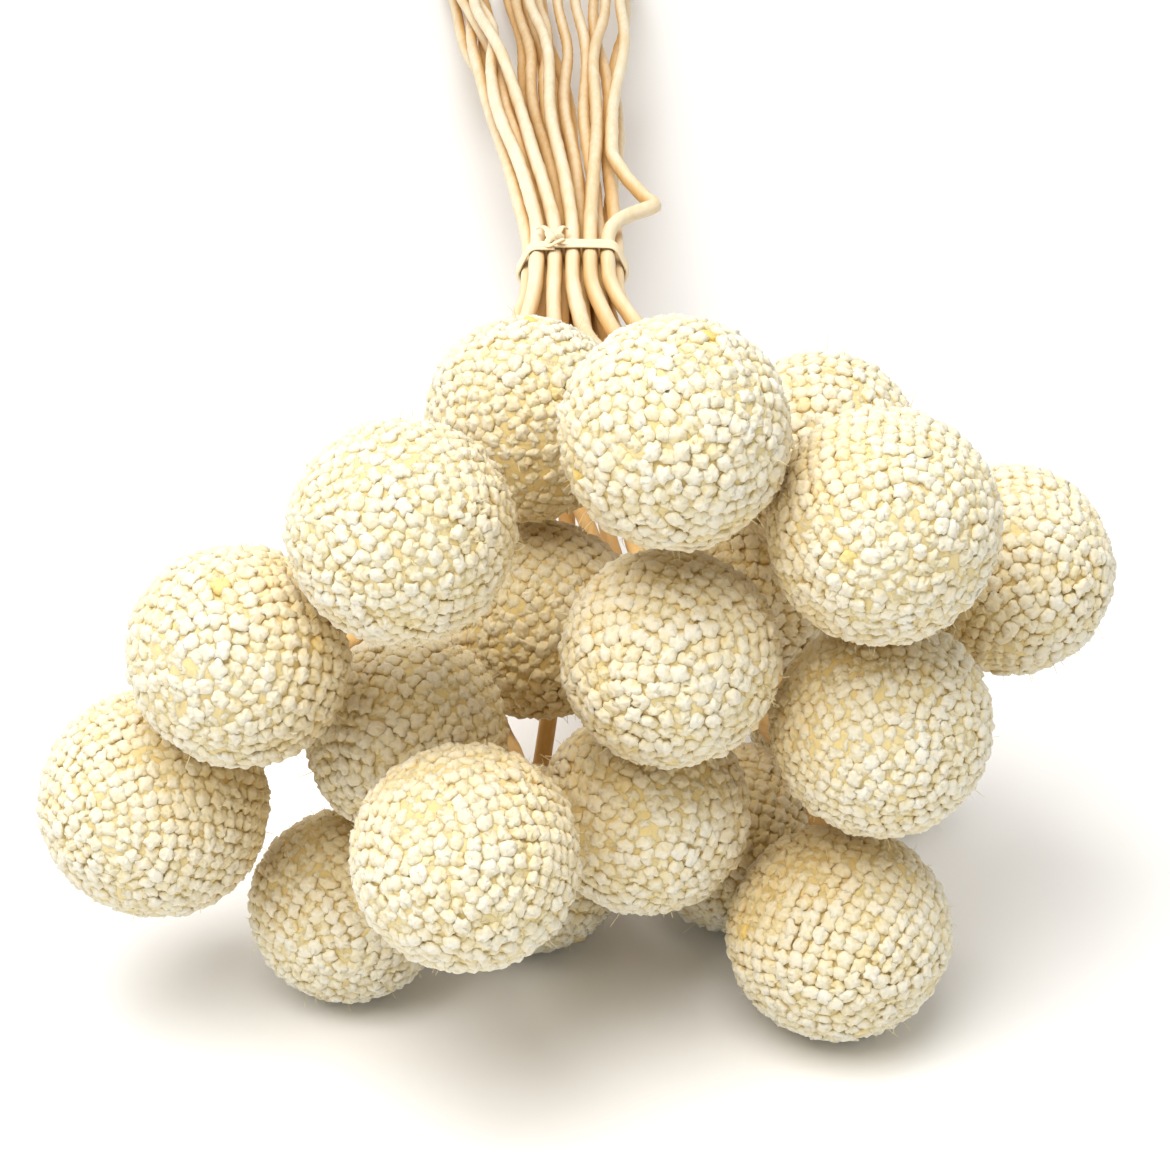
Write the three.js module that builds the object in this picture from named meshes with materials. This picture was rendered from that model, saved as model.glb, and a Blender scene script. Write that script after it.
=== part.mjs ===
// A tied bunch of dried craspedia, lying on a flat surface.
// Millimetres, +Z up. The flower heads are towards -Y and the cut stem ends towards +Y.
// Each flower is a ball-shaped head on one thin bare stem, and one tie holds all the stems.

import * as THREE from 'three';
import { mergeVertices } from 'three/addons/utils/BufferGeometryUtils.js';

// Driving sizes
const HEAD_WIDTH = 28; // an average head across
const HEAD_SHORTENING = 0.97; // a head's length along its stem, over its width
const STEM_WIDTH = 2.5;
const HEADS_TO_TIE = 118; // middle of the heads to the tie
const TIE_TO_ENDS = 330; // tie to the average cut end
const TIE_HEIGHT = 52; // middle of the tie above the surface
const FAN_WIDTH = 56; // spread of the cut ends, side to side
const FAN_LEAN = -14; // how far the cut ends lie to one side of the tie
const STRAY = 0.45; // how far a cut end strays from its place in the fan, over half its width
const END_STAGGER = 14; // how far a cut end may lie before or behind the average
const BAND_WIDTH = 3.4; // the tie, along the stems
const BAND_THICKNESS = 1.0;
const KNOT_RISE = 1.5; // how far the knot stands out of the tie
const KNOT_SPREAD = 0.3; // half of the knot's stretch around the bundle, in radians
const CLEARANCE = 0.35; // gap between pieces that touch

// How a stem bends
const WAVE_HEIGHT = 1.2; // gentle wander of a stem to either side
const WAVE_LENGTH = 170;
const WAVE_RISE = 0.5; // its wander up and down, over the one to either side
const WAVE_RISE_PACE = 1.3;
const WAVE_START = 9; // how far, in radians, the stems' waves start apart
const STRAIGHT_PAST_TIE = 6; // the stems run straight this far past each edge of the tie
const EASE_AT_TIE = 9; // the stretch over which a stem turns away from the straight way
const FLARE = 0.5; // how steeply a stem leaves the tie for its head, over its average slope
const BEND_REACH = 55; // half of the stretch over which a free stem bends
const BEND_SHARE_AT_TIE = 0.95; // of the stretch to the tie
const BEND_SHARE_AT_HEAD = 1.5; // of the stretch to the stem's own head, which the bend may pass
const ELBOW_OUT = 7.6; // one stem has an old elbow that stands out of the bundle
const ELBOW_UP = 0.8; // it crosses over the stems beside it
const ELBOW_SHARPNESS = 1.6;
const ELBOW_UP_PACE = 2.2;
const ELBOW_BEHIND_TIE = 22.5;
const ELBOW_REACH_AHEAD = 15;
const ELBOW_REACH_BEHIND = 44;
const ELBOW_PLACE = 2; // its place in the top layer of the tie, counted from the middle
const HEAD_ROOM = 0.9; // between a stem and the heads it passes
const HEAD_PUSH = 0.7; // how much of an overlap with a head one round takes away
const STEM_PUSH = 0.55; // how much of an overlap each of two stems gives way in one round
const HEAD_ROUNDS = 400;
const STEM_ROUNDS = 300;

// Fineness of the solids
const HEAD_SEGMENTS = 14;
const HEAD_RINGS = 9;
const HEAD_SEAT = 4.5; // the flat where the stem comes in, across
const BAND_SIDES = 6;
const STEM_SIDES = 8;
const FINE_AT_TIE = 20; // how far from the tie the rings of a stem are closest
const WIDE_STEP_AHEAD = 4; // stations from ring to ring among the heads
const WIDE_STEP_BEHIND = 9; // stations from ring to ring along the bare stems
const BAND_STEPS = 44;
const STATION = 2.5; // spacing of the places where the stems are compared
const LEAST_GAP = 0.1; // keeps directions between two centres defined
const WELD = 1e-4; // corners closer than this are one corner

const HEAD_LOOK = { color: '#efe8d2', roughness: 0.95, metalness: 0 };
const STEM_LOOK = { color: '#e6d6ae', roughness: 0.75, metalness: 0 };
const TIE_LOOK = { color: '#e2cf9c', roughness: 0.8, metalness: 0 };

// The heads, from the bottom of the heap to the top. Places are in average head widths:
// across to +X, ahead of the middle of the heads to -Y, and lift from the surface to the
// head's underside. Width is the head's own width over the average. Halfway to the tie, some
// stems swing to +X or hang lower than the straight way, to pass between the heads behind.
const FLOWERS = [
  { across: 1.25, ahead: 0.45, lift: 0, width: 1.05, swing: 0.25, hang: 0.15 },
  { across: -1.05, ahead: 0.15, lift: 0, width: 0.94 },
  { across: -0.2, ahead: -0.25, lift: 0, width: 0.94, swing: 0.09 },
  { across: 0.8, ahead: -0.45, lift: 0, width: 0.95, swing: -0.03 },
  { across: 1.4, ahead: -1.45, lift: 0, width: 0.97 },
  { across: -1.9, ahead: 0.3, lift: 0.6, width: 1.08, swing: 0.18, hang: 0.19 },
  { across: 0.35, ahead: 0.3, lift: 0.6, width: 0.98, swing: -0.12, hang: 0.08 },
  { across: -0.45, ahead: 1.1, lift: 0.85, width: 1.01, swing: -0.1, hang: 0.65 },
  { across: -0.75, ahead: 0.1, lift: 0.9, width: 0.96 },
  { across: 0.95, ahead: -1.45, lift: 0.9, width: 1 },
  { across: -0.15, ahead: -0.8, lift: 1.0, width: 0.99 },
  { across: 1.4, ahead: 0.4, lift: 1.1, width: 1.02, swing: 0, hang: 0.65 },
  { across: 2.05, ahead: -0.45, lift: 1.45, width: 1 },
  { across: -1.45, ahead: 0.55, lift: 1.55, width: 1 },
  { across: 0.45, ahead: 0.55, lift: 1.55, width: 0.98 },
  { across: 1.2, ahead: -1.0, lift: 1.8, width: 0.98 },
  { across: -0.2, ahead: -0.85, lift: 2.05, width: 0.98 },
  { across: 1.35, ahead: 0.5, lift: 2.15, width: 1.04 },
  { across: -0.7, ahead: 0.7, lift: 2.25, width: 0.98 },
  { across: 0.45, ahead: 0.6, lift: 2.65, width: 1 },
];

// The stems lie in layers inside the tie, from the lowest layer to the highest.
const LAYERS = [4, 5, 6, 5];

const stemRadius = STEM_WIDTH / 2;
const stemPitch = STEM_WIDTH + CLEARANCE;
const farApart = 3 * stemPitch; // stems further apart than this never touch
const straightThroughTie = BAND_WIDTH / 2 + STRAIGHT_PAST_TIE;

// Powers of the plastic number, whose multiples spread evenly between whole numbers.
const EVEN_STEP = 0.754877666;
const EVEN_SHIFT = 0.569840291;

// Which spread each use of scatter takes.
const END_SPREAD = 3;
const WAVE_SPREAD = 5;
const FAN_SPREAD = 11;

// A repeatable spread of values between -1 and 1.
function scatter(index, spread) {
  const turn = (index + 1) * EVEN_STEP + spread * EVEN_SHIFT;
  return 2 * (turn - Math.floor(turn)) - 1;
}

// Moves heads apart until each pair has its clearance. Heads with no lift stay on the surface.
function settleHeads() {
  const heads = FLOWERS.map((flower) => {
    const radius = (flower.width * HEAD_WIDTH) / 2;
    return {
      radius,
      grounded: flower.lift === 0,
      swing: (flower.swing ?? 0) * HEAD_WIDTH,
      hang: (flower.hang ?? 0) * HEAD_WIDTH,
      centre: new THREE.Vector3(
        flower.across * HEAD_WIDTH,
        -HEADS_TO_TIE - flower.ahead * HEAD_WIDTH,
        flower.lift * HEAD_WIDTH + radius,
      ),
    };
  });
  const apart = new THREE.Vector3();
  for (let round = 0; round < HEAD_ROUNDS; round += 1) {
    for (let i = 0; i < heads.length; i += 1) {
      for (let j = i + 1; j < heads.length; j += 1) {
        apart.subVectors(heads[j].centre, heads[i].centre);
        const overlap = heads[i].radius + heads[j].radius + CLEARANCE - apart.length();
        if (overlap > 0) {
          apart.setLength(overlap / 2);
          heads[i].centre.sub(apart);
          heads[j].centre.add(apart);
        }
      }
    }
    for (const head of heads) {
      head.centre.z = head.grounded ? head.radius : Math.max(head.centre.z, head.radius);
    }
  }
  return heads;
}

// Gives each flower a place inside the tie: the lowest heads take the lowest layer, and
// within a layer the stems keep the side-to-side order of their heads.
function placeInTie(heads) {
  const steepness = (head) => (head.centre.z - TIE_HEIGHT) / -head.centre.y;
  const sideways = (head) => head.centre.x / -head.centre.y;
  const byHeight = heads.map((head, index) => index);
  byHeight.sort((a, b) => steepness(heads[a]) - steepness(heads[b]));
  const slots = [];
  let taken = 0;
  LAYERS.forEach((count, layer) => {
    const row = byHeight.slice(taken, taken + count);
    row.sort((a, b) => sideways(heads[a]) - sideways(heads[b]));
    row.forEach((flower, place) => {
      slots[flower] = {
        layer,
        x: (place - (count - 1) / 2) * stemPitch,
        z: TIE_HEIGHT + (layer - (LAYERS.length - 1) / 2) * stemPitch,
      };
    });
    taken += count;
  });
  return slots;
}

// First course of a stem. A course has a sideways and an upward place at each station along
// Y, from the middle of the head to the cut end. Station 0 is the middle of the tie.
function firstCourse(head, slot, index, hasElbow) {
  const ownEnd = TIE_TO_ENDS + END_STAGGER * scatter(index, END_SPREAD);
  const steps = Math.max(...LAYERS) - 1;
  const edge = (steps / 2) * stemPitch;
  const besideOtherLayers = (slot.layer - (LAYERS.length - 1) / 2) / (LAYERS.length * steps);
  const strayed = slot.x / edge + besideOtherLayers + STRAY * scatter(index, FAN_SPREAD);
  const side = hasElbow ? 1 : THREE.MathUtils.clamp(strayed, -1, 1);
  const end = {
    x: FAN_LEAN + (side * (FAN_WIDTH - STEM_WIDTH)) / 2,
    z: stemRadius + slot.layer * stemPitch,
  };
  const course = { start: Math.round(head.centre.y / STATION), points: [] };
  for (let k = course.start; k * STATION <= ownEnd; k += 1) {
    const y = k * STATION;
    const target = y < 0 ? head.centre : end;
    const length = (y < 0 ? -head.centre.y : ownEnd) - straightThroughTie;
    const t = Math.min(Math.max(Math.abs(y) - straightThroughTie, 0) / length, 1);
    const ease = EASE_AT_TIE / length;
    const eased = (t * t * (1 + ease)) / (t + ease);
    const spread = y < 0 ? eased * (FLARE + (1 - FLARE) * t) : eased;
    const wave = WAVE_HEIGHT * Math.sin(Math.PI * t) ** 2;
    const phase = (2 * Math.PI * y) / WAVE_LENGTH + WAVE_START * scatter(index, WAVE_SPREAD);
    const point = {
      x: slot.x + (target.x - slot.x) * spread + wave * Math.sin(phase),
      z: slot.z + (target.z - slot.z) * spread + WAVE_RISE * wave * Math.cos(WAVE_RISE_PACE * phase),
    };
    if (y < 0) {
      const halfway = Math.sin(Math.PI * t) ** 2;
      point.x += head.swing * halfway;
      point.z -= head.hang * halfway;
    }
    if (hasElbow) {
      const past = y - ELBOW_BEHIND_TIE;
      const off = Math.min(past < 0 ? -past / ELBOW_REACH_AHEAD : past / ELBOW_REACH_BEHIND, 1);
      point.x += ELBOW_OUT * (1 - off) ** ELBOW_SHARPNESS;
      point.z += ELBOW_UP * Math.sin((Math.PI / 2) * Math.min(ELBOW_UP_PACE * (1 - off), 1));
    }
    course.points.push(point);
  }
  return course;
}

// Bends a course around one of its stations, over a long enough stretch to stay gentle.
// Its place in the tie stays as it is.
function bend(course, k, dx, dz) {
  const free = Math.abs(k * STATION) - straightThroughTie;
  const toHead = (k - course.start) * STATION;
  const reach = Math.min(BEND_SHARE_AT_TIE * free, BEND_REACH, BEND_SHARE_AT_HEAD * toHead);
  if (reach <= STATION) {
    return;
  }
  const steps = Math.floor(reach / STATION);
  for (let m = k - steps; m <= k + steps; m += 1) {
    const point = course.points[m - course.start];
    if (point) {
      const off = ((m - k) * STATION) / reach;
      const share = (1 - off * off) ** 2;
      point.x += dx * share;
      point.z += dz * share;
    }
  }
}

function slopeAt(points, m) {
  const before = points[Math.max(m - 1, 0)];
  const after = points[Math.min(m + 1, points.length - 1)];
  return { x: (after.x - before.x) / (2 * STATION), z: (after.z - before.z) / (2 * STATION) };
}

// Bends a stem around another flower's head, where it comes closest.
function clearHead(course, head) {
  const reach = head.radius + stemRadius + HEAD_ROOM;
  const from = Math.max(Math.ceil((head.centre.y - reach) / STATION), course.start);
  const to = Math.floor((head.centre.y + reach) / STATION);
  let worst = 0;
  let at = null;
  for (let k = from; k <= to; k += 1) {
    const point = course.points[k - course.start];
    const dx = point.x - head.centre.x;
    const dz = point.z - head.centre.z;
    const overlap = reach - Math.hypot(dx, k * STATION - head.centre.y, dz);
    if (overlap > worst) {
      worst = overlap;
      at = { k, dx, dz };
    }
  }
  if (at) {
    const share = (HEAD_PUSH * worst) / Math.max(Math.hypot(at.dx, at.dz), LEAST_GAP);
    bend(course, at.k, at.dx * share, at.dz * share);
  }
}

// Bends two stems apart where they come closest.
function clearStems(a, b) {
  const from = Math.max(a.start, b.start);
  const to = Math.min(a.start + a.points.length, b.start + b.points.length);
  let worst = 0;
  let at = null;
  for (let k = from; k < to; k += 1) {
    const p = a.points[k - a.start];
    const q = b.points[k - b.start];
    const dx = q.x - p.x;
    const dz = q.z - p.z;
    if (Math.abs(dx) > farApart || Math.abs(dz) > farApart) {
      continue;
    }
    const gap = Math.max(Math.hypot(dx, dz), LEAST_GAP);
    const slopeP = slopeAt(a.points, k - a.start);
    const slopeQ = slopeAt(b.points, k - b.start);
    const slant = ((slopeP.x + slopeQ.x) * dx + (slopeP.z + slopeQ.z) * dz) / (2 * gap);
    const overlap = stemPitch * Math.hypot(1, slant) - gap;
    if (overlap > worst) {
      worst = overlap;
      at = { k, dx: dx / gap, dz: dz / gap };
    }
  }
  if (at) {
    const push = STEM_PUSH * worst;
    bend(a, at.k, -at.dx * push, -at.dz * push);
    bend(b, at.k, at.dx * push, at.dz * push);
  }
}

// Keeps a stem above the surface that the bunch lies on.
function liftOffSurface(course) {
  let lowest = 0;
  course.points.forEach((point, m) => {
    if (point.z < course.points[lowest].z) {
      lowest = m;
    }
  });
  const sunk = stemRadius - course.points[lowest].z;
  if (sunk > 0) {
    bend(course, course.start + lowest, 0, sunk);
  }
}

function settleStems(courses, heads) {
  for (let round = 0; round < STEM_ROUNDS; round += 1) {
    courses.forEach((course, own) => {
      heads.forEach((head, other) => {
        if (other !== own) {
          clearHead(course, head);
        }
      });
      courses.slice(own + 1).forEach((other) => clearStems(course, other));
      liftOffSurface(course);
    });
  }
}

// A path that has one step of the tube between each two of its points.
class StemPath extends THREE.CatmullRomCurve3 {
  getUtoTmapping(u) {
    return u;
  }
}

// The stations of a stem's rings, counted from the tie outwards: close together at the tie
// and along an elbow, and wider apart beyond.
function ringStations(limit, fineUntil, wideStep) {
  const stations = [];
  let k = Math.floor(straightThroughTie / STATION);
  while (k < limit - 1) {
    stations.push(k);
    k += k * STATION < fineUntil ? 2 : wideStep;
  }
  return stations;
}

// The stem as a closed tube along its course, starting just clear of its head.
function makeStem(course, head, hasElbow) {
  const place = (k) => {
    const point = course.points[k - course.start];
    return new THREE.Vector3(point.x, k * STATION, point.z);
  };
  const startsAt = head.radius * HEAD_SHORTENING + CLEARANCE;
  const distance = (k) => place(k).distanceTo(head.centre);
  let first = course.start + 1;
  while (distance(first) < startsAt) {
    first += 1;
  }
  const part = (startsAt - distance(first - 1)) / (distance(first) - distance(first - 1));
  const start = place(first - 1).lerp(place(first), part);
  const last = course.start + course.points.length - 1;
  const ahead = ringStations(-first, FINE_AT_TIE, WIDE_STEP_AHEAD).reverse();
  const elbowEnd = hasElbow ? ELBOW_BEHIND_TIE + ELBOW_REACH_BEHIND : FINE_AT_TIE;
  const behind = ringStations(last, elbowEnd, WIDE_STEP_BEHIND);
  const route = [start, ...ahead.map((k) => place(-k)), ...behind.map(place), place(last)];
  const corners = [];
  for (let side = 0; side < STEM_SIDES; side += 1) {
    const angle = (2 * Math.PI * side) / STEM_SIDES;
    corners.push(new THREE.Vector2(Math.cos(angle) * stemRadius, Math.sin(angle) * stemRadius));
  }
  const geometry = new THREE.ExtrudeGeometry(new THREE.Shape(corners), {
    steps: route.length - 1,
    extrudePath: new StemPath(route, false, 'centripetal'),
    bevelEnabled: false,
  });
  return { geometry, start };
}

// The head as a turned ball, a little shorter along its stem than across, with a small
// flat at the back where the stem meets it.
function makeHead(head) {
  const back = Math.asin(HEAD_SEAT / 2 / head.radius);
  const profile = [new THREE.Vector2(0, -head.radius * HEAD_SHORTENING * Math.cos(back))];
  for (let ring = 0; ring < HEAD_RINGS; ring += 1) {
    const angle = back + ((Math.PI - back) * ring) / HEAD_RINGS;
    profile.push(new THREE.Vector2(
      head.radius * Math.sin(angle),
      -head.radius * HEAD_SHORTENING * Math.cos(angle),
    ));
  }
  profile.push(new THREE.Vector2(0, head.radius * HEAD_SHORTENING));
  return new THREE.LatheGeometry(profile, HEAD_SEGMENTS);
}

// The tie: a band that fits around the outermost stems, with its knot on top.
function makeTie(slots) {
  const positions = [];
  const indices = [];
  const section = [];
  for (let s = 0; s < BAND_SIDES; s += 1) {
    const angle = (2 * Math.PI * (s + 0.5)) / BAND_SIDES;
    section.push({ out: 0.5 - 0.5 * Math.cos(angle), along: Math.sin(angle) });
  }
  const rings = [];
  for (let step = 0; step < BAND_STEPS; step += 1) {
    const angle = (2 * Math.PI * step) / BAND_STEPS;
    const dx = Math.cos(angle);
    const dz = Math.sin(angle);
    let outermost = slots[0];
    for (const slot of slots) {
      if (slot.x * dx + slot.z * dz > outermost.x * dx + outermost.z * dz) {
        outermost = slot;
      }
    }
    const fromKnot = Math.min(Math.abs(angle - Math.PI / 2) / KNOT_SPREAD, 1);
    const knot = Math.cos((fromKnot * Math.PI) / 2) ** 2;
    rings.push({ dx, dz, outermost, knot });
  }
  for (const ring of rings) {
    for (const corner of section) {
      const thickness = BAND_THICKNESS + KNOT_RISE * ring.knot;
      const away = stemRadius + CLEARANCE + thickness * corner.out;
      positions.push(
        ring.outermost.x + ring.dx * away,
        (corner.along * BAND_WIDTH) / 2,
        ring.outermost.z + ring.dz * away,
      );
    }
  }
  for (let step = 0; step < rings.length; step += 1) {
    const next = (step + 1) % rings.length;
    for (let s = 0; s < BAND_SIDES; s += 1) {
      const t = (s + 1) % BAND_SIDES;
      const a = step * BAND_SIDES + s;
      const b = step * BAND_SIDES + t;
      const c = next * BAND_SIDES + t;
      const d = next * BAND_SIDES + s;
      indices.push(a, c, b, a, d, c);
    }
  }
  const geometry = new THREE.BufferGeometry();
  geometry.setAttribute('position', new THREE.Float32BufferAttribute(positions, 3));
  geometry.setIndex(indices);
  return geometry;
}

function named(name, geometry, look) {
  geometry.deleteAttribute('normal');
  geometry.deleteAttribute('uv');
  const closed = mergeVertices(geometry, WELD);
  closed.computeVertexNormals();
  const mesh = new THREE.Mesh(closed, new THREE.MeshStandardMaterial(look));
  mesh.name = name;
  return mesh;
}

function build() {
  const bunch = new THREE.Group();
  const heads = settleHeads();
  const slots = placeInTie(heads);
  const topLayer = LAYERS.length - 1;
  const elbowX = ELBOW_PLACE * stemPitch;
  const elbowFlower = slots.findIndex((slot) => (
    slot.layer === topLayer && Math.abs(slot.x - elbowX) < LEAST_GAP
  ));
  const courses = heads.map((head, index) => (
    firstCourse(head, slots[index], index, index === elbowFlower)
  ));
  settleStems(courses, heads);
  heads.forEach((head, index) => {
    const number = String(index + 1).padStart(2, '0');
    const stem = makeStem(courses[index], head, index === elbowFlower);
    bunch.add(named(`stem_${number}`, stem.geometry, STEM_LOOK));
    const ball = named(`head_${number}`, makeHead(head), HEAD_LOOK);
    const facing = new THREE.Vector3().subVectors(head.centre, stem.start).normalize();
    ball.quaternion.setFromUnitVectors(new THREE.Vector3(0, 1, 0), facing);
    ball.position.copy(head.centre);
    bunch.add(ball);
  });
  bunch.add(named('tie', makeTie(slots), TIE_LOOK));

  // The origin is under the middle of the bunch, on the surface it lies on.
  bunch.updateMatrixWorld(true);
  const box = new THREE.Box3().setFromObject(bunch, true);
  bunch.position.set(-(box.min.x + box.max.x) / 2, -(box.min.y + box.max.y) / 2, -box.min.z);
  return bunch;
}

const bunch = build();

export default bunch;
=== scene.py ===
"""A bunch of dried craspedia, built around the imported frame: floret heads, stems and a raffia tie."""

import math

import bmesh
import bpy
import numpy as np
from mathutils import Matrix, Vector


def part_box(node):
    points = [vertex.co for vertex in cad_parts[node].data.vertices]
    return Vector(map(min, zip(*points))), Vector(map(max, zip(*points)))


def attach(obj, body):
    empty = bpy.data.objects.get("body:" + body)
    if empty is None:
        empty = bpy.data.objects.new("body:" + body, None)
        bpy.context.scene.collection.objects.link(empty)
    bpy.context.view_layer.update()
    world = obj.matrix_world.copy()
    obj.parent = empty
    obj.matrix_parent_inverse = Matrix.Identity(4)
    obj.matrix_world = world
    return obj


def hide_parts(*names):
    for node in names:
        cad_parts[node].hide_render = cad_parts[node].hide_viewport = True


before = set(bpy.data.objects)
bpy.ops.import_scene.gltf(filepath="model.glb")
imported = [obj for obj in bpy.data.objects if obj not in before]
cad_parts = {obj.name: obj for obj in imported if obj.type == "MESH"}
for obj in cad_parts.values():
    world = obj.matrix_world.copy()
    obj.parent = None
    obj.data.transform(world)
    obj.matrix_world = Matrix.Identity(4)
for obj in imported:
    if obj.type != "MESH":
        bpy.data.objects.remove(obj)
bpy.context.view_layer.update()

MM = 0.001
TURN = 2 * math.pi
NUMBERS = range(1, 21)                      # each head and its stem share a number

# Where each kind of random numbers starts. Heads and stems add their own number.
SHAPE_SEED = 5
TIE_SEED = 77
HEAD_SEED = 100
STEM_SEED = 300

# Floret clusters. A pair of numbers is the least and the most of a random value.
CLUSTER_SPACING = 1.98 * MM                 # between the middles of neighbouring clusters
SPACING_SPREAD = (0.94, 1.08)               # of the spacing, from head to head
CLUSTER_FILL = 1.2                          # a cluster's mean width as a share of the spacing
CLUSTER_DEPTH = 2.1 * MM                    # from a cluster's tip down to its root
WIDTH_SPREAD = (0.88, 1.08)
DEPTH_SPREAD = (0.92, 1.08)
STRETCH_SPREAD = (0.88, 1.14)               # wider one way and narrower the other
CLUSTER_LEAN = 0.06                         # radians, away from straight out
PLACE_JITTER = 0.035                        # of the spacing
TIP_JITTER = 0.12 * MM
CLUSTER_KINDS = 12                          # different cluster shapes, used at random
STEM_GAP = 7.0                              # degrees around the stem that hold no florets

# The lobes of a cluster, measured from its root in units of about half its width.
ROOT_LOBE_RADIUS = 0.5
TOP_LOBE_HEIGHT = 0.84
TOP_LOBE_JITTER = 0.12
TOP_LOBE_RADII = (0.40, 0.52)
FEWEST_SIDE_LOBES = 5
MOST_SIDE_LOBES = 7
SIDE_LOBE_DISTANCES = (0.5, 0.62)           # from the cluster's own axis
SIDE_LOBE_HEIGHTS = (0.50, 0.85)
SIDE_LOBE_RADII = (0.32, 0.46)
LOBE_BLEND = 9.0                            # how sharply the lobes meet
GRAIN = 0.06                                # roughness of a cluster's surface
CLUSTER_SIDES = 16
CLUSTER_RINGS = (18, 36, 54, 74, 98, 124)   # degrees down from the cluster's top

# The rest of a head.
LUMP_HEIGHT = 0.022                         # of the radius
LUMP_WAVES = 4
LUMP_FREQUENCIES = (2.5, 4.5)               # radians in one radius
CORE_DEPTH = 0.72 * MM                      # from the tips down to the ball between the clusters
CORE_POINTS = 900
CORE_GRAIN = 0.012
WHISKERS = 90                               # fine hairs on each head
WHISKER_LENGTH = 0.5 * MM                   # the shortest one's, past the tips
WHISKER_MORE = 0.3 * MM                     # added to that on average
WHISKER_ROOT = 1.0 * MM                     # from the tips down to where a hair starts
WHISKER_BEND = 0.8                          # sideways at its end, as a share of its length
WHISKER_RADII = (0.06 * MM, 0.03 * MM)      # at its root and at its end
WHISKER_RINGS = 6

# Stems.
CAD_STEM_SIDES = 8
STEM_STEP = 2.2 * MM                        # between rings of a stem
STEM_SIDES = 14
STEM_RIBS = 5
RIB_HEIGHT = 0.035                          # of the radius
STEM_GRAIN = 0.008                          # of the radius
STEM_INTO_HEAD = 3.5 * MM                   # how far a stem runs on into its head
STEM_FILL = 0.97                            # a stem's mean radius as a share of its CAD solid's
STEM_UNEVENNESS = 0.05                      # of the radius
COLLAR_LENGTH = 3.2 * MM                    # the swelling under a head
COLLAR_SWELL = 0.55                         # added to the stem's radius at the head
PITH_WIDTH = 0.72                           # of the stem's width
PITH_DEPTHS = (0.25 * MM, 0.35 * MM)        # of the hollow in a cut end, at the pith's edge and middle

# The tie.
STRAND_WIDTH = 1.25 * MM
STRAND_THICKNESS = 0.62 * MM
STRAND_SIDES = 12
STRAND_TURNS = 3
STRAND_PITCH = 1.08 * MM                    # from one turn to the next
STRAND_STEP = 0.55 * MM                     # between rings of the strand
STRAND_WANDER = 0.12 * MM                   # to either side of its place
STRAND_CLEARANCE = 0.1 * MM                 # between the strand and the stems
OUTLINE_POINTS = 240
KNOT_RINGS = 60
KNOT_REACH = (1.25 * MM, 1.9 * MM, 0.5 * MM)   # across the stems, along them, and up and down
KNOT_LIFT = 0.55 * MM
TAIL_RINGS = 14
TAIL_LENGTH = 4.5 * MM
TAIL_SLANTS = (0.9, -1.3)                   # how far each tail leans to the side
TAIL_WIDTHS = (0.9, 0.45)                   # of the strand's width, at the knot and at the tip
KNOT_STRAND_WIDTH = 0.85                    # of the strand's width
KNOT_SEAT = 0.6                             # of the strand's thickness, from its middle up to the knot

# The camera looks down on the heads and along the stems.
CAMERA_ELEVATION = math.radians(28)
CAMERA_DISTANCE = 380 * MM
CAMERA_LENS = 97.05
CAMERA_TARGET = Vector((2.0, -135.3, 68.7)) * MM   # from the tie's centre in X and Y, from the floor in Z

# Colours. A stop is a place from 0, the gaps between florets, to 1, their tips, and its colour.
FLORET_COLOURS = (
    (0.60, (0.75, 0.61, 0.31)),
    (0.76, (0.75, 0.66, 0.43)),
    (0.90, (0.75, 0.70, 0.55)),
    (1.00, (0.75, 0.72, 0.62)),
)
TINTED_FLORET = (0.90, 0.80, 0.58)
# Painted shade: florets are multiplied by this where other heads face them.
PAINTED_SHADE_FLORET = (0.93, 0.80, 0.56)
AGED_FLORET = (0.74, 0.52, 0.06)
AGED_FROM = 0.996                           # a cluster whose random number is above this starts to yellow
AGED_FULL = 0.998
SCAPE_PALE = (0.88, 0.81, 0.64)
SCAPE_DEEP = (0.76, 0.60, 0.36)
# Painted shade: stems are multiplied by this near heads and other stems.
PAINTED_SHADE_SCAPE = (0.82, 0.60, 0.32)
PITH_COLOUR = (0.83, 0.77, 0.62)
RAFFIA_PALE = (0.88, 0.80, 0.62)
RAFFIA_DEEP = (0.74, 0.58, 0.34)

# Lights: name, place from the camera's target, width and power.
LIGHTS = (
    ("key", (-0.27, -0.36, 0.90), 0.9, 12.0),
    ("top", (-0.12, 0.10, 1.0), 0.8, 3.5),
)
LIGHT_COLOUR = (1.0, 0.99, 0.97)
WORLD_COLOUR = (1.0, 0.99, 0.975)
WORLD_STRENGTH = 0.57
FLOOR_REACH = 3.0                           # from the middle to each side


# ---------------------------------------------------------------- meshes


def make_object(name, vertices, faces, values=None):
    """A smooth mesh object. values holds, under each attribute's name, one number for each vertex."""
    mesh = bpy.data.meshes.new(name)
    mesh.from_pydata(vertices, [], faces)
    mesh.shade_smooth()
    for key, numbers in (values or {}).items():
        mesh.attributes.new(key, "FLOAT", "POINT").data.foreach_set("value", numbers)
    made = bpy.data.objects.new(name, mesh)
    bpy.context.scene.collection.objects.link(made)
    return made


class Parts:
    """Meshes gathered into one, with their attributes."""

    def __init__(self):
        self.vertices = []
        self.faces = []
        self.values = {}
        self.count = 0

    def add(self, vertices, faces, **values):
        vertices = np.asarray(vertices, float)
        self.vertices.append(vertices)
        self.faces.extend((np.asarray(f) + self.count).tolist() for f in faces)
        for key, numbers in values.items():
            self.values.setdefault(key, []).append(np.broadcast_to(numbers, len(vertices)))
        self.count += len(vertices)

    def make(self, name):
        """The gathered mesh. What would reach below the floor is pressed flat on it."""
        values = {key: np.concatenate(numbers).astype(np.float32) for key, numbers in self.values.items()}
        vertices = np.concatenate(self.vertices)
        vertices[:, 2] = np.maximum(vertices[:, 2], 0)
        return make_object(name, vertices, self.faces, values)


def unit(v):
    return v / np.linalg.norm(v, axis=-1, keepdims=True)


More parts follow.
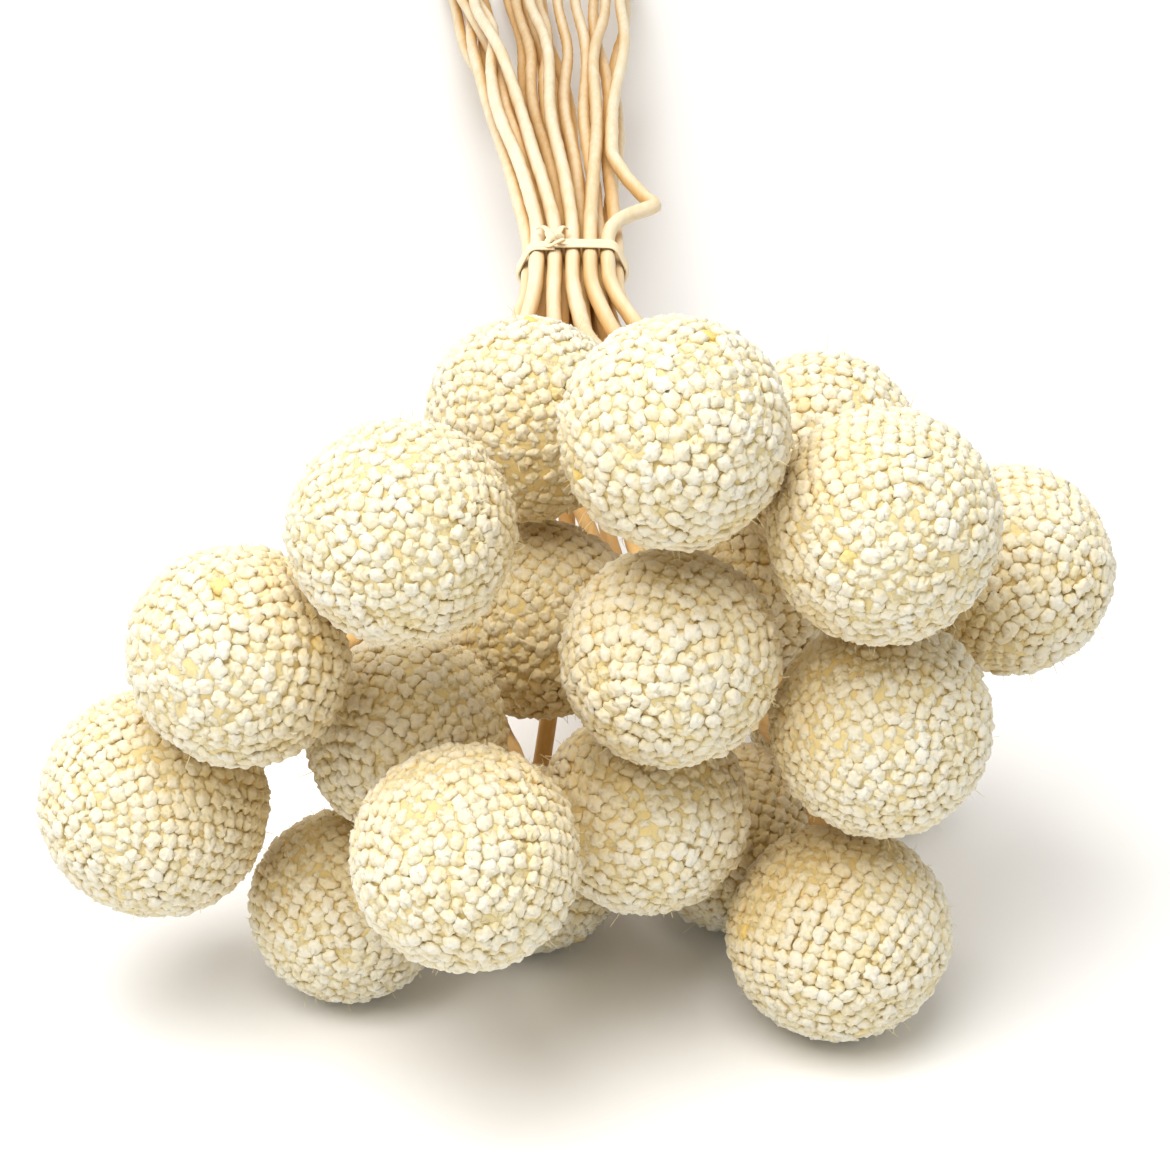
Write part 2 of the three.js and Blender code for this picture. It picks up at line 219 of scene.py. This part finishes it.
def node_points(name):
    """The separate corners of a CAD node."""
    corners = np.array([v.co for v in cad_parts[name].data.vertices], float)
    return np.unique(np.round(corners, 7), axis=0)


def convex_faces(directions):
    """Triangles of the hull round points on a sphere."""
    bm = bmesh.new()
    for direction in directions:
        bm.verts.new(direction)
    bm.verts.index_update()
    bmesh.ops.convex_hull(bm, input=bm.verts)
    faces = [[v.index for v in f.verts] for f in bm.faces]
    bm.free()
    return faces


def lengths_along(line):
    """How far along the line each of its points is."""
    steps = np.linalg.norm(np.diff(line, axis=0), axis=1)
    return np.concatenate([[0], np.cumsum(steps)])


def smooth_line(points, step):
    """A Catmull-Rom curve through the points, with a point about every step."""
    p = np.vstack([2 * points[0] - points[1], points, 2 * points[-1] - points[-2]])
    line = []
    for a, b, c, d in zip(p, p[1:], p[2:], p[3:]):
        n = max(1, round(float(np.linalg.norm(c - b)) / step))
        t = (np.arange(n) / n)[:, None]
        line.append(0.5 * (2 * b + (c - a) * t + (2 * a - 5 * b + 4 * c - d) * t**2
                           + (3 * b - a - 3 * c + d) * t**3))
    return np.vstack(line + [points[-1:]])


def side_directions(line, first):
    """Two directions across the line at each point, carried along it without twist."""
    ahead = unit(np.gradient(line, axis=0))
    side = np.zeros_like(line)
    v = np.asarray(first, float)
    for i, a in enumerate(ahead):
        v = v - a * (v @ a)
        v = v / np.linalg.norm(v)
        side[i] = v
    return side, np.cross(ahead, side)


def sweep(line, section, first=(1, 0, 0)):
    """A closed tube along the line. section[i, k] is corner k of ring i, across the line."""
    side, up = side_directions(line, first)
    rings = line[:, None] + section[..., :1] * side[:, None] + section[..., 1:] * up[:, None]
    n, k = rings.shape[:2]
    at = np.arange(n * k).reshape(n, k)
    turned = np.roll(at, -1, axis=1)
    quads = np.stack([at[:-1], turned[:-1], turned[1:], at[1:]], -1).reshape(-1, 4)
    return rings.reshape(-1, 3), [*quads, at[0][::-1], at[-1]]


def circle_angles(sides):
    return np.arange(sides) * TURN / sides


def round_section(radii, sides):
    """A circle for each radius; radii may also hold one radius for each corner."""
    angle = circle_angles(sides)
    r = np.asarray(radii, float)
    r = r[:, None] if r.ndim == 1 else r
    return np.stack([r * np.cos(angle), r * np.sin(angle)], -1)


def waves(length, rng, shortest, longest, count=5):
    """Gentle noise along a length, roughly from -1 to 1."""
    total = np.zeros_like(length)
    for wave in np.geomspace(shortest, longest, count):
        total += np.sin(TURN * (length / wave + rng.random())) / count
    return total * 1.6


# ---------------------------------------------------------------- flower heads


def cluster_directions():
    """The ways from a cluster's root to its corners: its top, ring after ring, and its lowest point."""
    directions = [(0, 0, 1)]
    for ring, degrees in enumerate(CLUSTER_RINGS):
        down = math.radians(degrees)
        for k in range(CLUSTER_SIDES):
            angle = (k + 0.5 * (ring % 2)) * TURN / CLUSTER_SIDES
            directions.append((math.sin(down) * math.cos(angle), math.sin(down) * math.sin(angle),
                               math.cos(down)))
    directions.append((0, 0, -1))
    return np.array(directions)


def cluster_shape(directions, rng):
    """One floret cluster: a bud of small round lobes, one unit in mean radius and one in height."""
    top = np.array([*rng.normal(0, TOP_LOBE_JITTER, 2), TOP_LOBE_HEIGHT])
    lobes = [(np.zeros(3), ROOT_LOBE_RADIUS), (top, rng.uniform(*TOP_LOBE_RADII))]
    around = rng.integers(FEWEST_SIDE_LOBES, MOST_SIDE_LOBES + 1)
    turn = rng.random() * TURN
    for i in range(around):
        angle = turn + (i + rng.uniform(-0.2, 0.2)) * TURN / around
        out = rng.uniform(*SIDE_LOBE_DISTANCES)
        centre = np.array([out * math.cos(angle), out * math.sin(angle), rng.uniform(*SIDE_LOBE_HEIGHTS)])
        lobes.append((centre, rng.uniform(*SIDE_LOBE_RADII)))

    reach = np.zeros(len(directions))
    for centre, radius in lobes:
        along = directions @ centre
        inside = along**2 - centre @ centre + radius**2
        hit = np.where(inside > 0, along + np.sqrt(np.maximum(inside, 0)), 0)
        reach += np.maximum(hit, 0) ** LOBE_BLEND
    reach = reach ** (1 / LOBE_BLEND) * (1 + rng.normal(0, GRAIN, len(reach)))
    shape = directions * reach[:, None]
    out = np.linalg.norm(shape[1:-1, :2], axis=1).reshape(-1, CLUSTER_SIDES)
    shape[:, :2] /= out.max(0).mean()
    shape[:, 2] = (shape[:, 2] - shape[:, 2].min()) / np.ptp(shape[:, 2])
    return shape


def cluster_faces():
    """The triangles that every cluster shape shares."""
    faces = []
    last = 1 + len(CLUSTER_RINGS) * CLUSTER_SIDES
    for k in range(CLUSTER_SIDES):
        beside = (k + 1) % CLUSTER_SIDES
        faces.append((0, 1 + k, 1 + beside))
        for ring in range(len(CLUSTER_RINGS) - 1):
            a = 1 + ring * CLUSTER_SIDES + k
            b = 1 + ring * CLUSTER_SIDES + beside
            c = a + CLUSTER_SIDES
            d = b + CLUSTER_SIDES
            if ring % 2:
                faces += [(a, c, d), (a, d, b)]
            else:
                faces += [(a, c, b), (b, c, d)]
        faces.append((last, last - CLUSTER_SIDES + beside, last - CLUSTER_SIDES + k))
    return np.array(faces)


def spiral_directions(count, rng, jitter):
    """Evenly spread directions in a sunflower spiral, from the top down to the stem's gap."""
    golden_angle = math.pi * (3 - math.sqrt(5))
    lowest = -math.cos(math.radians(STEM_GAP))
    k = np.arange(count) + 0.5
    z = 1 - k / count * (1 - lowest)
    angle = k * golden_angle
    across = np.sqrt(1 - z**2)
    spread = np.stack([across * np.cos(angle), across * np.sin(angle), z], -1)
    return unit(spread + rng.normal(0, jitter, spread.shape))


def bumpiness(directions, rng):
    """Slow lumps over a head, roughly from -1 to 1."""
    total = np.zeros(len(directions))
    for axis in unit(rng.normal(size=(LUMP_WAVES, 3))):
        total += np.sin(rng.uniform(*LUMP_FREQUENCIES) * directions @ axis + rng.random() * TURN)
    return total / LUMP_WAVES


def head_place(number, stem_line):
    """A head's centre, its radius, how flat it is, and the axis that points away from its stem."""
    points = node_points(f"head_{number:02d}")
    centre = (points.min(0) + points.max(0)) / 2
    axis = unit(centre - stem_line[0])
    along = (points - centre) @ axis
    across = np.linalg.norm(points - centre - along[:, None] * axis, axis=1)
    return centre, across.max(), along.max() / across.max(), axis


def shelter(points, outward, balls):
    """Painted shade: how much of the view from each point is taken up by the balls, from 0 to 1.

    A ball straight ahead of a point's outward direction counts most. With no outward directions, each
    ball counts half.
    """
    total = np.zeros(len(points))
    for centre, radius in balls:
        way = centre - points
        away = np.maximum(np.linalg.norm(way, axis=1), radius)
        facing = 0.5 if outward is None else np.clip((way * outward).sum(1) / away, 0, 1)
        total += (radius / away) ** 2 * facing
    return np.clip(total, 0, 1)


def grow_clusters(radius, shapes, rng):
    """The corners of each cluster on a round ball, and how near each is to the tips, from 0 to 1."""
    spacing = CLUSTER_SPACING * rng.uniform(*SPACING_SPREAD)
    middle = radius - CLUSTER_DEPTH / 2
    count = round(4 * math.pi * middle**2 / (math.sqrt(0.75) * spacing**2))
    directions = spiral_directions(count, rng, PLACE_JITTER * spacing / radius)
    lumps = 1 + LUMP_HEIGHT * bumpiness(directions, rng)
    half_width = spacing / 2 * CLUSTER_FILL * rng.uniform(*WIDTH_SPREAD, count)
    height = CLUSTER_DEPTH * rng.uniform(*DEPTH_SPREAD, count)
    base = radius * lumps - height + rng.normal(0, TIP_JITTER, count)

    up = unit(directions + rng.normal(0, CLUSTER_LEAN, directions.shape))
    east = unit(np.cross(up, unit(rng.normal(size=up.shape))))
    north = np.cross(up, east)
    shape = shapes[rng.integers(len(shapes), size=count)]
    stretch = rng.uniform(*STRETCH_SPREAD, count)
    local = (shape[..., :1] * (half_width * stretch)[:, None, None] * east[:, None]
             + shape[..., 1:2] * (half_width / stretch)[:, None, None] * north[:, None]
             + shape[..., 2:] * height[:, None, None] * up[:, None])
    corners = directions[:, None] * base[:, None, None] + local
    tip = (np.linalg.norm(corners, axis=-1) / lumps[:, None] - radius + CLUSTER_DEPTH) / CLUSTER_DEPTH
    return corners, np.clip(tip, 0, 1)


def whisker_line(radius, rng):
    """A fine hair that leaves a round ball: the line it takes and the direction it bends in."""
    start = unit(rng.normal(size=3))
    bend = unit(rng.normal(size=3))
    t = np.linspace(0, 1, WHISKER_RINGS)[:, None]
    reach = WHISKER_LENGTH + rng.exponential(WHISKER_MORE)
    line = start * (radius - WHISKER_ROOT + t * (WHISKER_ROOT + reach)) + bend * t**2 * reach * WHISKER_BEND
    return line, bend


def make_head(number, places, shapes, faces):
    """A head: its floret clusters, the core between them and its hairs."""
    rng = np.random.default_rng(HEAD_SEED + number)
    centre, radius, flat, axis = places[number]
    others = [place[:2] for key, place in places.items() if key != number]
    side = unit(np.cross(axis, unit(rng.normal(size=3))))
    own_axes = np.stack([side, np.cross(axis, side), axis])
    parts = Parts()

    def in_place(points):
        """Points of a round ball as they are on this head: flattened, turned and moved."""
        return (points * (1, 1, flat)) @ own_axes + centre

    corners, tip = grow_clusters(radius, shapes, rng)
    corners = in_place(corners)
    count, size = tip.shape
    starts = (np.arange(count) * size)[:, None, None]
    # Painted shade on the clusters, where other heads face them.
    painted_shade_share = shelter(corners.reshape(-1, 3), unit(corners - centre).reshape(-1, 3), others)
    tint = np.repeat(rng.normal(0, 1, count), size)
    aged = np.repeat(rng.random(count), size)
    parts.add(corners.reshape(-1, 3), (faces[None] + starts).reshape(-1, 3),
              tip=tip.ravel(), tint=tint, shelter=painted_shade_share, aged=aged)

    core = spiral_directions(CORE_POINTS, rng, 0)
    hull = convex_faces(core)
    core = in_place(core * (radius - CORE_DEPTH) * (1 + CORE_GRAIN * rng.normal(size=(len(core), 1))))
    # Painted shade on the core, where other heads face it.
    painted_shade_share = shelter(core, unit(core - centre), others)
    parts.add(core, hull, tip=0.1, tint=0.0, shelter=painted_shade_share, aged=0.0)

    section = round_section(np.linspace(*WHISKER_RADII, WHISKER_RINGS), 4)
    for _ in range(WHISKERS):
        line, bend = whisker_line(radius, rng)
        vertices, quads = sweep(in_place(line), section, first=bend @ own_axes)
        parts.add(vertices, quads, tip=0.55, tint=-1.5, shelter=0.0, aged=0.0)

    made = parts.make(f"florets_{number:02d}")
    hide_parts(f"head_{number:02d}")
    return made


# ---------------------------------------------------------------- stems


def stem_points(number):
    """The middle of each ring of a stem's CAD solid, from the head to the cut end, and its radius."""
    points = node_points(f"stem_{number:02d}")
    points = points[np.argsort(points[:, 1])]
    rings = points.reshape(-1, CAD_STEM_SIDES, 3)
    middles = rings.mean(1)
    return middles, float(np.linalg.norm(rings - middles[:, None], axis=2).mean())


def stem_shelter(points, outward, others):
    """Painted shade: how much of the view from each point is taken up by the stems beside it, from 0 to 1.
    """
    total = np.zeros(len(points))
    for middles, thickness in others:
        way = np.stack([np.interp(points[:, 1], middles[:, 1], middles[:, axis]) for axis in range(3)], -1)
        way -= points
        away = np.maximum(np.linalg.norm(way, axis=1), thickness)
        total += thickness / away * np.clip((way * outward).sum(1) / away, 0, 1)
    return np.clip(total, 0, 1)


def cut_end(rim, ahead):
    """A stem's cut end, hollowed a little: its corners, its faces, and how pithy each corner is."""
    centre = rim.mean(0)
    edge_depth, middle_depth = PITH_DEPTHS
    pith_rim = centre + (rim - centre) * PITH_WIDTH - ahead * edge_depth
    ring = np.arange(STEM_SIDES)
    beside = np.roll(ring, -1)
    inner, inner_beside = ring + STEM_SIDES, beside + STEM_SIDES
    edge = np.stack([ring, beside, inner_beside, inner], -1)
    bottom = np.stack([inner, inner_beside, np.full(STEM_SIDES, 2 * STEM_SIDES)], -1)
    pith = np.concatenate([np.full(STEM_SIDES, 0.2), np.ones(STEM_SIDES + 1)])
    return np.vstack([rim, pith_rim, centre - ahead * middle_depth]), [*edge, *bottom], pith


def make_stem(number, stems, places):
    """A stem: a ribbed stalk that swells under its head, and its cut end."""
    middles, thickness = stems[number]
    rng = np.random.default_rng(STEM_SEED + number)
    into = unit(middles[0] - middles[1]) * STEM_INTO_HEAD
    line = smooth_line(np.vstack([middles[:1] + into, middles]), STEM_STEP)
    gone = lengths_along(line)
    swell = np.clip(1 - (gone - STEM_INTO_HEAD) / COLLAR_LENGTH, 0, 1) ** 2 * COLLAR_SWELL
    radius = thickness * (STEM_FILL + STEM_UNEVENNESS * waves(gone, rng, 9 * MM, 120 * MM) + swell)
    twist = waves(gone, rng, 60 * MM, 300 * MM, 2) * 1.2
    ribs = 1 + RIB_HEIGHT * np.cos(STEM_RIBS * (circle_angles(STEM_SIDES)[None] + twist[:, None]))
    ribs += rng.normal(0, STEM_GRAIN, (len(line), STEM_SIDES))
    vertices, faces = sweep(line, round_section(radius[:, None] * ribs, STEM_SIDES))
    tube_faces = faces[:-1]

    outward = unit(vertices - np.repeat(line, STEM_SIDES, axis=0))
    # Painted shade on the stem, near the heads and the other stems.
    painted_shade_share = shelter(vertices, None, [place[:2] for place in places.values()])
    painted_shade_share += stem_shelter(vertices, outward, [stem for key, stem in stems.items() if key != number])
    parts = Parts()
    parts.add(vertices, tube_faces, pith=0.0, shelter=np.clip(painted_shade_share, 0, 1), tint=rng.normal())
    vertices, faces, pith = cut_end(vertices[-STEM_SIDES:], unit(line[-1] - line[-2]))
    parts.add(vertices, faces, pith=pith, shelter=0.0, tint=0.0)

    made = parts.make(f"scape_{number:02d}")
    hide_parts(f"stem_{number:02d}")
    return made


# ---------------------------------------------------------------- tie


def wrap_outline(stems, distance):
    """Where along Y the stems are tied, and the closed line in X and Z at a distance round their middles."""
    low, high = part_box("tie")
    place = (low.y + high.y) / 2
    centres = np.array([
        [np.interp(place, middles[:, 1], middles[:, axis]) for axis in (0, 2)]
        for middles, _ in stems.values()
    ])
    outline = []
    for i in range(OUTLINE_POINTS):
        angle = TURN / 4 + TURN * i / OUTLINE_POINTS
        out = np.array([math.cos(angle), math.sin(angle)])
        outermost = centres[np.argmax(centres @ out)]
        outline.append(outermost + out * distance)
    return place, np.array(outline + outline[:1])


def knot_line():
    """A strand looped over itself, round the middle of the knot."""
    turn = TURN * np.linspace(0, 1, KNOT_RINGS)
    across, along, lift = KNOT_REACH
    return np.stack([across * np.sin(2 * turn), along * np.sin(turn),
                     KNOT_LIFT + lift * np.cos(3 * turn)], -1)


def tail_line(slant):
    """A loose end of the strand, which leaves the knot along the stems and dips at its tip."""
    t = np.linspace(0, 1, TAIL_RINGS)
    return np.stack([slant * (0.4 + 1.8 * t) * MM, 0.8 * MM + TAIL_LENGTH * t,
                     (0.7 + 0.9 * np.sin(math.pi * t) - 0.5 * t) * MM], -1)


def make_tie(stems):
    """The tie: a flat strand wound round the stems, its knot and its two tails."""
    rng = np.random.default_rng(TIE_SEED)
    thickness = stems[1][1]
    place, loop = wrap_outline(stems, thickness + STRAND_THICKNESS / 2 + STRAND_CLEARANCE)
    gone = lengths_along(loop)
    once_round = gone[-1]
    s = np.arange(0, once_round * STRAND_TURNS, STRAND_STEP)
    x = np.interp(s % once_round, gone, loop[:, 0])
    z = np.interp(s % once_round, gone, loop[:, 1])
    across = (s / once_round - STRAND_TURNS / 2) * STRAND_PITCH
    across = across + STRAND_WANDER * waves(s, rng, 6 * MM, 40 * MM)
    angle = circle_angles(STRAND_SIDES)
    flat = np.stack([np.cos(angle) * STRAND_WIDTH / 2, np.sin(angle) * STRAND_THICKNESS / 2], -1)
    rough = 1 + 0.07 * waves(s, rng, 2 * MM, 20 * MM)[:, None, None]
    rough = rough + 0.05 * rng.normal(size=(1, STRAND_SIDES, 1))
    parts = Parts()
    vertices, faces = sweep(np.stack([x, place + across, z], -1), flat[None] * rough, first=(0, 1, 0))
    parts.add(vertices, faces, tint=0.0)

    top = np.array([loop[0, 0], place, loop[0, 1] + STRAND_THICKNESS * KNOT_SEAT])
    knot_section = (flat * KNOT_STRAND_WIDTH)[None].repeat(KNOT_RINGS, 0)
    vertices, faces = sweep(top + knot_line(), knot_section, first=(0, 0, 1))
    parts.add(vertices, faces, tint=-0.4)
    narrowing = np.linspace(*TAIL_WIDTHS, TAIL_RINGS)[:, None, None]
    for slant in TAIL_SLANTS:
        vertices, faces = sweep(top + tail_line(slant), flat[None] * narrowing)
        parts.add(vertices, faces, tint=0.3)
    made = parts.make("raffia_tie")
    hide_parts("tie")
    return made


# ---------------------------------------------------------------- materials


def set_inputs(tree, node, inputs):
    """Links each input to a socket, or gives it a number, a vector or a colour."""
    for key, value in inputs.items():
        socket = node.inputs[key]
        if isinstance(value, bpy.types.NodeSocket):
            tree.links.new(value, socket)
        elif socket.type == "RGBA":
            socket.default_value = (*value, 1)
        else:
            socket.default_value = value


def add_node(tree, kind, inputs=None, **settings):
    made = tree.nodes.new(kind)
    for key, value in settings.items():
        setattr(made, key, value)
    set_inputs(tree, made, inputs or {})
    return made


def new_material(name):
    """A new material, its node tree and its shader."""
    material = bpy.data.materials.new(name)
    material.use_nodes = True
    return material, material.node_tree, material.node_tree.nodes["Principled BSDF"]


def ramp(tree, value, stops):
    """Colours that change with a value, from stop to stop."""
    made = add_node(tree, "ShaderNodeValToRGB", {"Fac": value})
    elements = made.color_ramp.elements
    while len(elements) < len(stops):
        elements.new(0.5)
    for element, (place, colour) in zip(elements, stops):
        element.position = place
        element.color = (*colour, 1)
    return made.outputs["Color"]


def mix(tree, share, a, b, kind="MIX"):
    """Colour a with a share of colour b. Inputs 0, 6 and 7 are the node's share and its two colours."""
    made = add_node(tree, "ShaderNodeMix", data_type="RGBA", blend_type=kind)
    set_inputs(tree, made, {0: share, 6: a, 7: b})
    return made.outputs[2]


def maths(tree, operation, a, b):
    return add_node(tree, "ShaderNodeMath", {0: a, 1: b}, operation=operation).outputs[0]


def scaled(tree, value, factor, plus=0.0):
    """A value times a factor, and then something added."""
    return maths(tree, "ADD", maths(tree, "MULTIPLY", value, factor), plus)


def attribute(tree, name):
    return add_node(tree, "ShaderNodeAttribute", attribute_name=name).outputs["Fac"]


def noise(tree, scale, detail, stretch=(1, 1, 1)):
    """Noise in the object's own metres. stretch scales each axis first."""
    where = add_node(tree, "ShaderNodeTexCoord").outputs["Object"]
    where = add_node(tree, "ShaderNodeMapping", {"Vector": where, "Scale": stretch}).outputs[0]
    made = add_node(tree, "ShaderNodeTexNoise", {"Vector": where, "Scale": scale, "Detail": detail})
    return made.outputs["Fac"]


def floret_material():
    """Cream tips over yellow gaps, with a fine fuzz, and painted shade, warmer and darker, where heads face
    each other.
    """
    material, tree, shader = new_material("floret")
    speckle = scaled(tree, maths(tree, "SUBTRACT", noise(tree, 900, 4), 0.5), 0.35)
    colour = ramp(tree, maths(tree, "ADD", attribute(tree, "tip"), speckle), FLORET_COLOURS)
    tint = scaled(tree, attribute(tree, "tint"), 0.08, plus=0.12)
    colour = mix(tree, tint, colour, TINTED_FLORET, "MULTIPLY")
    aged = ramp(tree, attribute(tree, "aged"), [(AGED_FROM, (0, 0, 0)), (AGED_FULL, (1, 1, 1))])
    colour = mix(tree, scaled(tree, aged, 0.8), colour, AGED_FLORET)
    # Painted shade: darker and warmer where other heads face the florets.
    colour = mix(tree, attribute(tree, "shelter"), colour, PAINTED_SHADE_FLORET, "MULTIPLY")
    fuzz = add_node(tree, "ShaderNodeBump", {
        "Strength": 0.6, "Distance": 0.24 * MM, "Height": noise(tree, 2400, 4)})
    set_inputs(tree, shader, {
        "Base Color": colour,
        "Roughness": scaled(tree, noise(tree, 2500, 2), 0.25, plus=0.72),
        "Normal": fuzz.outputs[0],
        "Subsurface Weight": 0.3,
        "Subsurface Radius": (1.0, 0.85, 0.6),
        "Subsurface Scale": 0.8 * MM,
        "Specular IOR Level": 0.25,
        "Sheen Weight": 0.2,
    })
    return material


def dry_material(name, pale, deep, fibres):
    """Dry stalk or raffia: fine fibres that run along it, and slow changes of colour.

    fibres stretches the noise for them. The colour comes back unlinked, so that more can be mixed in.
    """
    material, tree, shader = new_material(name)
    fibre = noise(tree, 1500, 3, stretch=fibres)
    mixed = maths(tree, "ADD", scaled(tree, fibre, 0.6), scaled(tree, noise(tree, 55, 3), 0.6))
    mixed = maths(tree, "ADD", mixed, scaled(tree, attribute(tree, "tint"), 0.07))
    colour = ramp(tree, mixed, [(0.35, pale), (0.85, deep)])
    bump = add_node(tree, "ShaderNodeBump", {"Strength": 0.5, "Distance": 0.12 * MM, "Height": fibre})
    set_inputs(tree, shader, {
        "Roughness": scaled(tree, fibre, 0.3, plus=0.5),
        "Normal": bump.outputs[0],
        "Specular IOR Level": 0.3,
    })
    return material, tree, shader, colour


def scape_material():
    """A stem: paler at its cut end, and painted shade, darker and more orange, where heads or other stems
    are close.
    """
    material, tree, shader, colour = dry_material("scape", SCAPE_PALE, SCAPE_DEEP, fibres=(1, 0.05, 1))
    colour = mix(tree, attribute(tree, "pith"), colour, PITH_COLOUR)
    # Painted shade: darker and more orange near heads and other stems.
    colour = mix(tree, attribute(tree, "shelter"), colour, PAINTED_SHADE_SCAPE, "MULTIPLY")
    set_inputs(tree, shader, {"Base Color": colour})
    return material


def raffia_material():
    material, tree, shader, colour = dry_material("raffia", RAFFIA_PALE, RAFFIA_DEEP, fibres=(0.12, 1, 0.12))
    set_inputs(tree, shader, {"Base Color": colour})
    return material


# ---------------------------------------------------------------- stage


def make_floor():
    r = FLOOR_REACH
    floor = make_object("floor", [(-r, -r, 0), (r, -r, 0), (r, r, 0), (-r, r, 0)], [(0, 1, 2, 3)])
    material, tree, shader = new_material("pale_floor")
    colour = ramp(tree, noise(tree, 3.0, 2), [(0.3, (0.86, 0.855, 0.845)), (0.7, (0.88, 0.875, 0.865))])
    set_inputs(tree, shader, {"Base Color": colour, "Roughness": 0.9, "Specular IOR Level": 0.1})
    floor.data.materials.append(material)


def add_area_light(name, place, target, width, power):
    data = bpy.data.lights.new(name, "AREA")
    data.shape = "DISK"
    data.size = width
    data.energy = power
    data.color = LIGHT_COLOUR
    light = bpy.data.objects.new(name, data)
    bpy.context.scene.collection.objects.link(light)
    light.location = place
    light.rotation_euler = (target - place).to_track_quat("-Z", "Y").to_euler()


def make_lights(target):
    world = bpy.data.worlds.new("studio")
    world.use_nodes = True
    background = world.node_tree.nodes["Background"]
    set_inputs(world.node_tree, background, {"Color": WORLD_COLOUR, "Strength": WORLD_STRENGTH})
    bpy.context.scene.world = world
    for name, place, width, power in LIGHTS:
        add_area_light(name, target + Vector(place), target, width, power)


def make_camera(target):
    data = bpy.data.cameras.new("camera")
    data.lens = CAMERA_LENS
    data.sensor_width = 36
    data.clip_start = 0.01
    camera = bpy.data.objects.new("camera", data)
    bpy.context.scene.collection.objects.link(camera)
    back = Vector((0, -math.cos(CAMERA_ELEVATION), math.sin(CAMERA_ELEVATION)))
    camera.location = target + back * CAMERA_DISTANCE
    camera.rotation_euler = (-back).to_track_quat("-Z", "Y").to_euler()
    bpy.context.scene.camera = camera


# ---------------------------------------------------------------- the bunch

tie_low, tie_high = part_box("tie")
tie_middle = (tie_low + tie_high) / 2
target = Vector((tie_middle.x, tie_middle.y, 0)) + CAMERA_TARGET
make_camera(target)
make_lights(target)
make_floor()
bpy.context.scene.view_settings.view_transform = "Standard"

shape_rng = np.random.default_rng(SHAPE_SEED)
directions = cluster_directions()
shapes = np.stack([cluster_shape(directions, shape_rng) for _ in range(CLUSTER_KINDS)])
faces = cluster_faces()
floret = floret_material()
scape = scape_material()
raffia = raffia_material()

stems = {number: stem_points(number) for number in NUMBERS}
places = {number: head_place(number, stems[number][0]) for number in NUMBERS}
for number in NUMBERS:
    head = make_head(number, places, shapes, faces)
    head.data.materials.append(floret)
    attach(head, "root")
    stem = make_stem(number, stems, places)
    stem.data.materials.append(scape)
    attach(stem, "root")

tie = make_tie(stems)
tie.data.materials.append(raffia)
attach(tie, "root")
